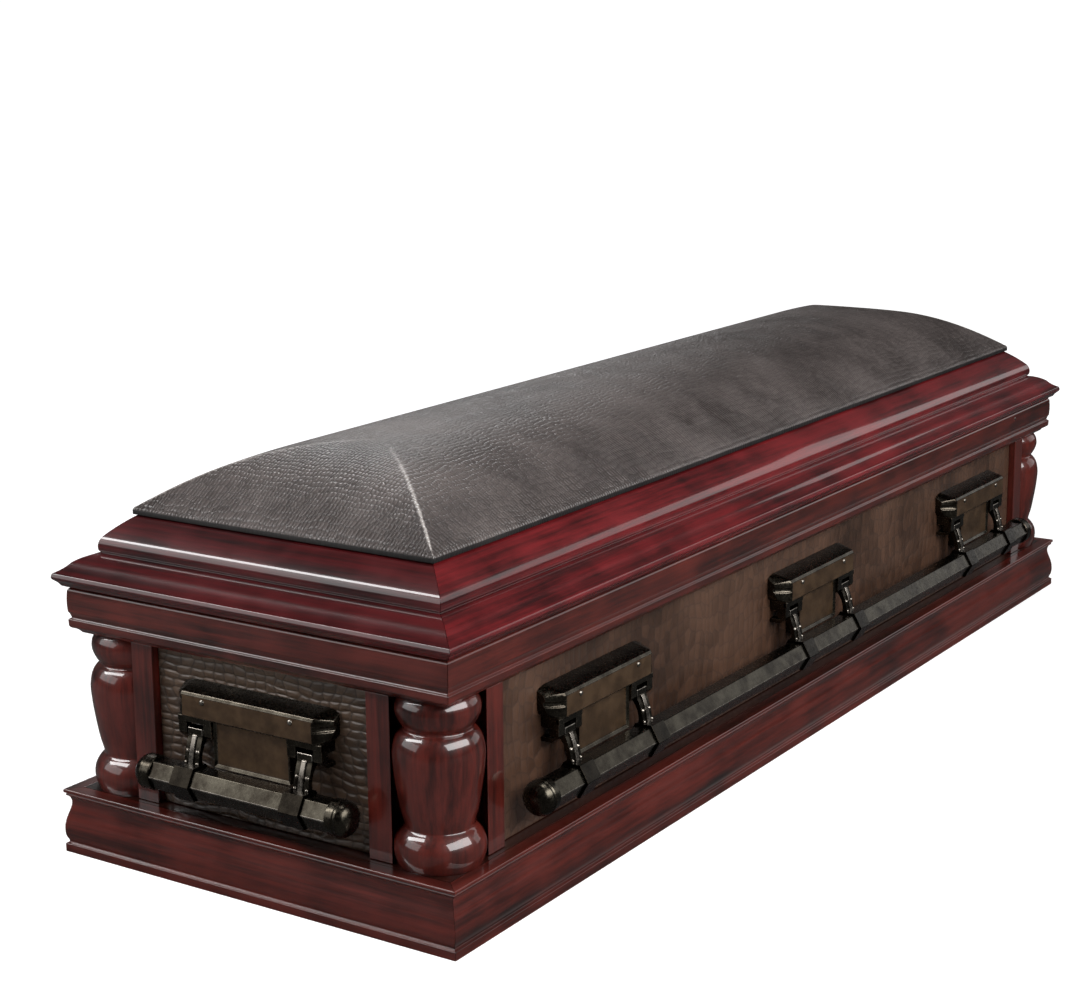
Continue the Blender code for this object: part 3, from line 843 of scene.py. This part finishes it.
def corner_places():
    """The place of each corner, anticlockwise from front left, with its column on the origin."""
    for index, (along, across) in enumerate([(-1, -1), (1, -1), (1, 1), (-1, 1)]):
        spot = (along * (HALF_LENGTH - COLUMN_INSET), across * (HALF_WIDTH - COLUMN_INSET), 0)
        turn = Matrix.Rotation(math.radians(90 * index), 4, "Z")
        yield index + 1, Matrix.Translation(spot) @ turn


def post_plan():
    """A square post, hollowed round the column and cut off towards the inside of the casket."""
    face = POST_SETBACK - COLUMN_INSET
    reach = POST_REACH - COLUMN_INSET
    mouth = math.asin(-face / NICHE_RADIUS)
    niche = []
    for step in range(NICHE_STEPS + 1):
        angle = -mouth + (math.pi / 2 + 2 * mouth) * step / NICHE_STEPS
        niche.append((NICHE_RADIUS * math.cos(angle), NICHE_RADIUS * math.sin(angle)))
    cut = math.sqrt(2) * (NICHE_RADIUS + POST_WALL) - reach
    return niche + [(face, reach), (cut, reach), (reach, cut), (reach, face)]


def make_posts():
    for number, place in corner_places():
        bm = bmesh.new()
        face = bm.faces.new([bm.verts.new((x, y, WALL_BOTTOM)) for x, y in post_plan()])
        extruded(bm, face, (0, 0, WALL_TOP - WALL_BOTTOM))
        soften(bm, POST_SOFTNESS, 3)
        dress_node(f"post_{number}", bm, ["upright"], place)


def column_profile():
    """Foot ring, waist, tall vase, neck and cap, as shares of the radius and of the height."""
    foot = [(0.915, 0.0), (0.945, 0.020), (0.985, 0.058), (1.000, 0.104)]
    foot += [(0.978, 0.142), (0.920, 0.176), (0.850, 0.201), (0.790, 0.217)]
    vase = [(0.762, 0.228), (0.766, 0.246), (0.800, 0.282), (0.846, 0.330)]
    vase += [(0.911, 0.432), (0.967, 0.540), (0.998, 0.640), (0.987, 0.690)]
    vase += [(0.956, 0.731), (0.905, 0.763), (0.838, 0.787), (0.772, 0.802)]
    cap = [(0.768, 0.816), (0.812, 0.832), (0.868, 0.860), (0.912, 0.892)]
    cap += [(0.925, 0.922), (0.904, 0.957), (0.852, 0.985), (0.810, 1.0)]
    height = WALL_TOP - WALL_BOTTOM
    line = smooth_line(foot + vase + cap, 5)
    points = [(share * COLUMN_RADIUS, WALL_BOTTOM + up * height) for share, up in line]
    return [(0.0, WALL_BOTTOM)] + points + [(0.0, WALL_TOP)]


def make_columns():
    for number, place in corner_places():
        bm = spun(column_profile(), COLUMN_SEGMENTS)
        dress_node(f"column_{number}", bm, ["upright"], place, 60, False)


def make_panels():
    for side, (_, _, half) in SIDES.items():
        reach = half - POST_REACH - CLEARANCE
        bm = block((-reach, 0, WALL_BOTTOM), (reach, PANEL_THICKNESS, WALL_TOP))
        soften(bm, PANEL_SOFTNESS, 3)
        look = "panel_end" if side in ("left", "right") else "panel_long"
        dress_node("panel_" + side, bm, [look], on_side(side, setback=PANEL_SETBACK))


# Lid


def swell(share):
    return 1 - (1 - min(1.0, share)) ** DOME_FULLNESS


def dome_height(end_share, side_share, rise):
    end, side = swell(end_share), swell(side_share)
    return rise * ((1 - DOME_HIP_BLEND) * min(end, side) + DOME_HIP_BLEND * end * side)


def dome_sheet(bm, shares, half_length, half_width, eaves, rise, grooved=False):
    """A domed grid. Its lines stand at shares of the half-width, so that the hips follow them."""
    count = len(shares)
    columns, rows = 2 * count - 1, 2 * count - 2
    turn = bm.verts.layers.float.get("end_slope") or bm.verts.layers.float.new("end_slope")
    hip = bm.verts.layers.float.get("hip") or bm.verts.layers.float.new("hip")
    grid = bmesh.ops.create_grid(bm, x_segments=columns, y_segments=rows, size=1)
    lines = {}
    for vert in grid["verts"]:
        column = round((vert.co.x + 1) / 2 * columns)
        row = round((vert.co.y + 1) / 2 * rows)
        end_share = shares[min(column, columns - column)]
        side_share = shares[min(row, rows - row)]
        along = half_length - DOME_END_RATIO * half_width * end_share
        vert.co.x = math.copysign(along, column - count + 0.5)
        vert.co.y = math.copysign(half_width * (1 - side_share), row - count + 1)
        height = eaves + dome_height(end_share, side_share, rise)
        nearest = half_width * min(end_share, side_share)
        if grooved:
            groove = (nearest - BORDER_WIDTH) / BORDER_GROOVE
            pucker = 0.5 + 0.5 * noise.noise(vert.co * 7)
            height -= BORDER_DEPTH * math.exp(-(groove**2))
            height -= LEATHER_WRAP * max(0.0, 1 - nearest / LEATHER_WRAP) ** 2
            height -= LEATHER_PUCKER * pucker * min(1.0, nearest / 0.02)
        vert.co.z = height
        lean = (side_share - end_share) / 0.05 + 0.5 + 0.5 * noise.noise(vert.co * 25)
        vert[turn] = min(1.0, max(0.0, lean))
        # Painted highlight along the hips: strongest at the eaves, fading towards the ridge.
        vert[hip] = (1.0 - side_share) ** 0.7 if abs(side_share - end_share) < 1e-6 else 0.0
        lines[column, row] = vert
    return lines, columns, rows


def split_hips(bm, lines, columns, rows):
    """Folds the grid's corner cells along the hips."""
    for step in range(rows // 2):
        for column, row, across, up in (
            (step, step, 1, 1),
            (step, rows - step, 1, -1),
            (columns - step, step, -1, 1),
            (columns - step, rows - step, -1, -1),
        ):
            far = lines[column + across, row + up]
            bmesh.ops.connect_verts(bm, verts=[lines[column, row], far])


def boundary(lines, columns, rows):
    """The sheet's edge as four runs of vertices, each from one corner to the next."""
    return [
        [lines[column, 0] for column in range(columns + 1)],
        [lines[columns, row] for row in range(rows + 1)],
        [lines[column, rows] for column in range(columns, -1, -1)],
        [lines[0, row] for row in range(rows, -1, -1)],
    ]


def dome_shares(half_width):
    """Close lines across the border and its groove, then wider ones up to the ridge."""
    border = [0, 0.0006, 0.0013, LEATHER_WRAP, 0.0036, 0.0047, 0.0053]
    border += [BORDER_WIDTH, 0.0067, 0.0073, 0.0085, 0.011]
    shares = [distance / half_width for distance in border]
    start = shares[-1]
    for step in range(1, DOME_STEPS + 1):
        t = step / DOME_STEPS
        shares.append(start + (1 - start) * (0.55 * t + 0.45 * t * t))
    return shares


def make_dome():
    """The leather-covered shell: a wrapped edge, a domed top and a domed hollow below."""
    reach_x, reach_y = HALF_LENGTH - DOME_SETBACK, HALF_WIDTH - DOME_SETBACK
    bm = bmesh.new()
    eaves = DOME_BOTTOM + LEATHER_EDGE
    top = dome_sheet(bm, dome_shares(reach_y), reach_x, reach_y, eaves, DOME_RISE, True)
    inner_rise = LEATHER_EDGE + DOME_RISE - DOME_SHELL
    hollow_x, hollow_y = reach_x - DOME_RIM, reach_y - DOME_RIM
    shares = [step / HOLLOW_STEPS for step in range(HOLLOW_STEPS + 1)]
    hollow = dome_sheet(bm, shares, hollow_x, hollow_y, DOME_BOTTOM, inner_rise)
    corners = [
        bm.verts.new((across * reach_x, up * reach_y, DOME_BOTTOM))
        for across, up in ((-1, -1), (1, -1), (1, 1), (-1, 1))
    ]
    for side, (outer, inner) in enumerate(zip(boundary(*top), boundary(*hollow))):
        pair = [corners[side], corners[(side + 1) % 4]]
        bm.faces.new(outer + pair[::-1])
        bm.faces.new(pair + inner[::-1])
    split_hips(bm, *top)
    split_hips(bm, *hollow)
    bm.normal_update()
    low = DOME_BOTTOM + 1e-5
    # The steep edge faces and the flat underside rim take the near-black edge leather, as painted
    # shade.
    paint(bm, 1, lambda face: abs(face.normal.z) < 0.3 or face.calc_center_median().z < low)
    dress_node("lid_dome", bm, ["lid_leather", "lid_edge_shade"], None, 50, False)


# Handles


def hood_ring(along, depth, low, high, groove):
    """The hood's cut: flat underside, upright front with a groove at the ends, and sloping top."""
    bottom = HOOD_BOTTOM + low
    front = HOOD_BOTTOM + HOOD_FRONT_HEIGHT - high
    middle = HOOD_BOTTOM + 0.62 * HOOD_FRONT_HEIGHT
    outline = [
        (0.0, bottom),
        (0.92 * depth, bottom),
        (depth, bottom + 0.0022),
        (depth, middle - 0.0045),
        (depth - 0.7 * groove, middle - 0.0030),
        (depth - groove, middle),
        (depth - 0.7 * groove, middle + 0.0030),
        (depth, middle + 0.0045),
        (depth, front - 0.0018),
        (0.93 * depth, front + 0.0022),
        (0.0, HOOD_BOTTOM + HOOD_HEIGHT - high),
    ]
    return [(along, -outward, up) for outward, up in outline]


def make_hood():
    """The hood runs straight, and falls back to scrolled ends whose lower corners curve up."""
    half = HOOD_LENGTH / 2
    tips = []
    for step in range(HOOD_STEPS + 1):
        t = step / HOOD_STEPS
        along = half - HOOD_END * 1.25 * (1 - t)
        depth = HOOD_DEPTH - (HOOD_DEPTH - HOOD_END_DEPTH) * t**1.5
        low = HOOD_LIFT * (1 - math.sqrt(max(0.0, 1 - t * t)))
        high = HOOD_DIP * t * t
        groove = HOOD_GROOVE * math.sin(math.pi * min(1.0, 0.15 + 0.55 * t))
        tips.append((along, depth, low, high, groove if t > 0.1 else 0.0))
    stations = [(-along, *rest) for along, *rest in reversed(tips)] + tips
    bm = lofted([hood_ring(*station) for station in stations])
    soften(bm, BRONZE_EDGE, 2, 28, look=WORN)
    front = -HOOD_DEPTH + 0.0004
    paint(bm, PLATE, lambda face: not face.material_index and face.calc_center_median().y < front)
    return bm


def make_window():
    """The box below the hood, with a sunk plate in its front."""
    bottom = HOOD_BOTTOM - WINDOW_HEIGHT
    top = HOOD_BOTTOM + 0.05 * HOOD_HEIGHT
    bm = block((-WINDOW_HALF, -WINDOW_DEPTH, bottom), (WINDOW_HALF, 0, top))
    front = min(bm.faces, key=lambda face: face.calc_center_median().y)
    bmesh.ops.inset_region(bm, faces=[front], thickness=WINDOW_RIM, use_even_offset=True)
    bmesh.ops.translate(bm, vec=(0, WINDOW_SINK, 0), verts=front.verts)
    front.material_index = PLATE
    soften(bm, BRONZE_EDGE, 2, look=WORN)
    return bm


def cheek_outline():
    """A cheek's cut: a block whose notch, open to the panel, holds the arm's round head."""
    bottom, top = HOOD_BOTTOM - CHEEK_HEIGHT, HOOD_BOTTOM + 0.05 * HOOD_HEIGHT
    radius = HEAD_RADIUS + 0.0005
    notch = []
    for step in range(13):
        angle = math.radians(90 - 15 * step)
        out, up = radius * math.cos(angle), radius * math.sin(angle)
        notch.append((PIVOT_DEPTH + out, PIVOT_HEIGHT + up))
    below = [(0.0, PIVOT_HEIGHT - radius), (0.0, bottom), (CHEEK_DEPTH - 0.011, bottom)]
    face = [(CHEEK_DEPTH - 0.001, bottom + 0.009), (CHEEK_DEPTH, bottom + 0.011)]
    above = [(CHEEK_DEPTH, top), (0.0, top), (0.0, PIVOT_HEIGHT + radius)]
    return notch + below + face + above


def domed_head(radius, place, rise=0.55):
    """A domed screw head or stud that looks towards -Y."""
    profile = [(0.0, -0.4 * radius), (radius, -0.4 * radius)]
    for angle in (0, 0.4, 0.8, 1.2):
        profile.append((radius * math.cos(angle), rise * radius * math.sin(angle)))
    profile.append((0.0, rise * radius))
    bm = spun(profile, 20, "-Y")
    bmesh.ops.translate(bm, vec=place, verts=bm.verts)
    paint(bm, BRIGHT)
    return bm


def make_ear():
    shells = [make_hood(), make_window()]
    for arm in (-ARM_SPREAD, ARM_SPREAD):
        for side in (-1, 1):
            inner = arm + side * SLOT_WIDTH / 2
            outer = inner + side * CHEEK_WIDTH
            cheek = prism(cheek_outline(), min(inner, outer), max(inner, outer))
            soften(cheek, BRONZE_EDGE, 2, look=WORN)
            shells.append(cheek)
        reach = SLOT_WIDTH / 2 + CHEEK_WIDTH
        low = (arm - reach, -CHEEK_DEPTH - LUG_LIP_STAND, HOOD_BOTTOM - LUG_LIP)
        lip = block(low, (arm + reach, -CHEEK_DEPTH + 0.005, HOOD_BOTTOM + 0.001))
        soften(lip, LIP_SOFTNESS, 3, look=WORN)
        shells.append(lip)
    for along in (-SCREW_SPREAD, SCREW_SPREAD):
        place = (along, -HOOD_DEPTH, HOOD_BOTTOM + SCREW_RISE)
        shells.append(domed_head(SCREW_RADIUS, place))
    return gather(shells)


def hexagon(flats, centre=(0.0, 0.0)):
    """Six corners with one towards the outside, so that the flats face up and down."""
    radius = flats / math.sqrt(3)
    corners = []
    for step in range(6):
        turn = math.radians(60 * step)
        corners.append((centre[0] + radius * math.cos(turn), centre[1] + radius * math.sin(turn)))
    return corners


def leg_outline(stand, top):
    """The arm's leg from the side: a knuckle below the lug's lip, and a slope down to the bar."""
    foot = (0.72 * BAR_REACH, BAR_FLATS / 2 + SLEEVE_WALL / 2 - BAR_DROP)
    back, front = -ARM_THICKNESS / 2, ARM_THICKNESS / 2 + stand
    return bowed(
        [
            (back, min(top, 0.0)),
            (back, -PIVOT_RADIUS, ARM_BOW),
            (foot[0] + back, foot[1]),
            (foot[0] + front, foot[1], -0.0015),
            (KNUCKLE_FRONT + stand, -0.006),
            (KNUCKLE_FRONT + stand, top - 0.0015),
            (KNUCKLE_FRONT + stand - 0.0015, top),
        ]
    )


def make_sleeve():
    """A hexagonal sleeve, open for the bar."""
    centre = (BAR_REACH, -BAR_DROP)
    bm = bmesh.new()
    loops = []
    for flats in (BAR_FLATS + 2 * SLEEVE_WALL, BAR_FLATS + 2 * CLEARANCE):
        ring = hexagon(flats, centre)
        verts = [bm.verts.new((-SLEEVE_WIDTH / 2, -outward, up)) for outward, up in ring]
        loops += [bm.edges.new(pair) for pair in zip(verts, verts[1:] + verts[:1])]
    bmesh.ops.bridge_loops(bm, edges=loops)
    grown = bmesh.ops.extrude_face_region(bm, geom=bm.faces[:])
    moved = [item for item in grown["geom"] if isinstance(item, bmesh.types.BMVert)]
    bmesh.ops.translate(bm, vec=(SLEEVE_WIDTH, 0, 0), verts=moved)
    soften(bm, SLEEVE_SOFTNESS, 2)
    paint(bm, SLEEVE)
    return bm


def make_arm():
    """A round head for the cheeks, a bowed leg with a rib and studs, and a sleeve for the bar."""
    leg = prism(leg_outline(0.0, -0.002), -ARM_WIDTH / 2, ARM_WIDTH / 2)
    soften(leg, BRONZE_EDGE, 2)
    rib = prism(leg_outline(RIB_STAND, -0.0035), -RIB_WIDTH / 2, RIB_WIDTH / 2)
    paint(rib, BRIGHT)
    soften(rib, RIB_SOFTNESS, 4, 40, look=BRIGHT)
    knuckle_low = (-ARM_WIDTH / 2, -KNUCKLE_FRONT - 0.0004, -0.0045)
    knuckle = block(knuckle_low, (ARM_WIDTH / 2, 0.0, KNUCKLE_TOP))
    soften(knuckle, KNUCKLE_SOFTNESS, 3, look=BRIGHT)
    end = HEAD_LENGTH / 2
    head = spun([(0, -end), (HEAD_RADIUS, -end), (HEAD_RADIUS, end), (0, end)], 24, "X")
    shells = [leg, rib, knuckle, head, make_sleeve()]
    for side in (-1, 1):
        for radius, (along, out, up) in (
            (STUD_RADIUS, STUD_PLACE),
            (LOW_STUD_RADIUS, LOW_STUD_PLACE),
        ):
            shells.append(domed_head(radius, (side * along, out, up), 0.9))
    return gather(shells)


def make_cap(end, facing):
    """A bar's round end cap: a collar that grips the bar, and a nose cut in facets."""
    collar = [(0.0, -1.0), (0.93, -1.0), (0.985, -0.85), (1.0, -0.5)]
    nose = [(1.0, 0.10), (0.95, 0.18), (0.95, 0.30), (0.99, 0.38), (0.93, 0.58)]
    nose += [(0.78, 0.80), (0.52, 0.94), (0.22, 1.0), (0.0, 1.0)]
    profile = []
    for shares, length in ((collar, CAP_GRIP), (nose, CAP_LENGTH)):
        for radius, along in shares:
            profile.append((radius * CAP_RADIUS, end + facing * along * length))
    return spun(profile, 32, "X")


def make_bar(half):
    """The hexagonal bar, rubbed bright along its outermost edge, and its two caps."""
    bar = prism(hexagon(BAR_FLATS), -half, half)
    soften(bar, BAR_SOFTNESS, 3)
    highlight = 0.93 * BAR_FLATS / math.sqrt(3)
    paint(bar, BRIGHT, lambda face: -face.calc_center_median().y > highlight)
    return gather([bar, make_cap(-half, -1), make_cap(half, 1)])


def make_handles():
    ear, arm = make_ear(), make_arm()
    for side, places in EARS.items():
        number = 0
        for index, along in enumerate(places):
            place = on_side(side, along, PANEL_SETBACK - CLEARANCE)
            dress_node(f"ear_{side}_{index + 1}", ear.copy(), METALS, place)
            for offset in (-ARM_SPREAD, ARM_SPREAD):
                number += 1
                place = on_side(side, along + offset, PIVOT_SETBACK, PIVOT_HEIGHT)
                dress_node(f"arm_{side}_{number}", arm.copy(), METALS, place)
        overhang = BAR_OVERHANG if len(places) > 1 else END_BAR_OVERHANG
        bar = make_bar(places[-1] + overhang)
        bmesh.ops.translate(bar, vec=(0, -BAR_REACH, -BAR_DROP), verts=bar.verts)
        place = on_side(side, 0.0, PIVOT_SETBACK, PIVOT_HEIGHT)
        dress_node("bar_" + side, bar, METALS, place)
    ear.free()
    arm.free()


def make_rail_pin():
    """The small bright pin near the right end of the front rail."""
    bm = domed_head(PIN_RADIUS, (0, 0, 0), 0.4)
    paint(bm, 0)
    place = on_side("front", PIN_ALONG, PIN_SETBACK, PIN_HEIGHT)
    add_piece("rail_pin", bm, "casket", ["bright"], place, 180, False)


def dress_board():
    """The bottom board stays the solid itself, and only takes its material."""
    board = frame["nodes"]["bottom_board"]
    board.data.materials.clear()
    board.data.materials.append(looks["board"])


# Stage: floor, world, lights and camera


def softbox(name, place, aim, size, brightness):
    """A rectangular light of even brightness that the camera does not see."""
    light = bpy.data.lights.new(name, "AREA")
    light.shape = "RECTANGLE"
    light.size, light.size_y = size
    light.energy = brightness * math.pi * size[0] * size[1]
    made = bpy.data.objects.new(name, light)
    bpy.context.scene.collection.objects.link(made)
    made.location = place
    made.rotation_mode = "QUATERNION"
    made.rotation_quaternion = (Vector(aim) - Vector(place)).to_track_quat("-Z", "Y")
    made.visible_camera = False


def make_floor():
    """A pale floor, even and white further out, that the polish mirrors only faintly."""
    bm = bmesh.new()
    bmesh.ops.create_grid(bm, x_segments=1, y_segments=1, size=40)
    mesh = bpy.data.meshes.new("floor")
    bm.to_mesh(mesh)
    bm.free()
    floor = bpy.data.objects.new("floor", mesh)
    bpy.context.scene.collection.objects.link(floor)
    made, tree, shader, spot = new_material("pale floor", roughness=0.9, specular_ior_level=0.0)
    rays = tree.nodes.new("ShaderNodeLightPath").outputs
    mirrored = rays["Is Glossy Ray"]
    colour = blend_colour(tree, mirrored, (0.75, 0.75, 0.75, 1), (0.08, 0.08, 0.08, 1))
    tree.links.new(colour, shader.inputs["Base Color"])
    distance = place_node(tree, "ShaderNodeVectorMath", {0: spot}, operation="LENGTH")
    glow = ranged(tree, distance.outputs["Value"], 1.1, 3.5, 0.45, 1.0)
    glow = share_of(tree, glow, rays["Is Camera Ray"])
    tree.links.new(glow, shader.inputs["Emission Strength"])
    shader.inputs["Emission Color"].default_value = (1, 1, 1, 1)
    mesh.materials.append(made)


def make_world():
    """White behind the casket for the camera, and a dim room for everything else."""
    world = bpy.data.worlds.new("studio")
    world.use_nodes = True
    bpy.context.scene.world = world
    tree = world.node_tree
    ray = tree.nodes.new("ShaderNodeLightPath").outputs["Is Camera Ray"]
    light = place_node(tree, "ShaderNodeMapRange", {"Value": ray, "To Min": 0.06, "To Max": 1.05})
    tree.links.new(light.outputs[0], tree.nodes["Background"].inputs["Strength"])
    tree.nodes["Background"].inputs["Color"].default_value = (1, 1, 1, 1)


def make_lights():
    softbox("key, right of the camera", (-0.7, -2.95, 2.0), (-0.4, -0.3, 0.3), (3.8, 1.6), 8.6)
    softbox("left, level above the end", (-2.2, 1.45, 1.9), (-2.2, 1.45, 0.0), (0.6, 2.4), 14)
    softbox("left, low", (-2.75, 1.5, 1.2), (-1.06, 0.0, 0.4), (2.4, 1.2), 2.0)
    softbox("overhead", (-0.9, -0.7, 2.7), (-0.5, -0.1, 0.5), (0.7, 0.5), 14)
    softbox("rear", (1.2, 1.7, 2.1), (-0.7, 0.0, 0.5), (1.2, 0.5), 14)
    softbox("fill, far to the right", (3.6, -2.5, 1.6), (0.0, -0.3, 0.3), (3.0, 2.0), 1.0)


def make_camera():
    """The photograph's view: where it stands, where it looks, and its slight roll."""
    azimuth = math.radians(CAMERA_AZIMUTH)
    elevation = math.radians(CAMERA_ELEVATION)
    roll = math.radians(CAMERA_ROLL)
    back = Vector(
        (
            math.sin(azimuth) * math.cos(elevation),
            -math.cos(azimuth) * math.cos(elevation),
            math.sin(elevation),
        )
    )
    right = (-back).cross(Vector((0, 0, 1))).normalized()
    up = right.cross(-back)
    turned_right = math.cos(roll) * right + math.sin(roll) * up
    turned_up = -math.sin(roll) * right + math.cos(roll) * up
    data = bpy.data.cameras.new("camera")
    data.sensor_width = SENSOR_WIDTH
    data.lens = FOCAL_LENGTH / PHOTO_WIDTH * SENSOR_WIDTH
    camera = bpy.data.objects.new("camera", data)
    bpy.context.scene.collection.objects.link(camera)
    turn = Matrix((turned_right, turned_up, back)).transposed().to_4x4()
    camera.matrix_world = Matrix.Translation(CAMERA_PLACE) @ turn
    bpy.context.scene.camera = camera


make_mouldings()
make_posts()
make_columns()
make_panels()
make_dome()
make_handles()
make_rail_pin()
dress_board()
make_floor()
make_world()
make_lights()
make_camera()
bpy.context.scene.view_settings.view_transform = "Standard"
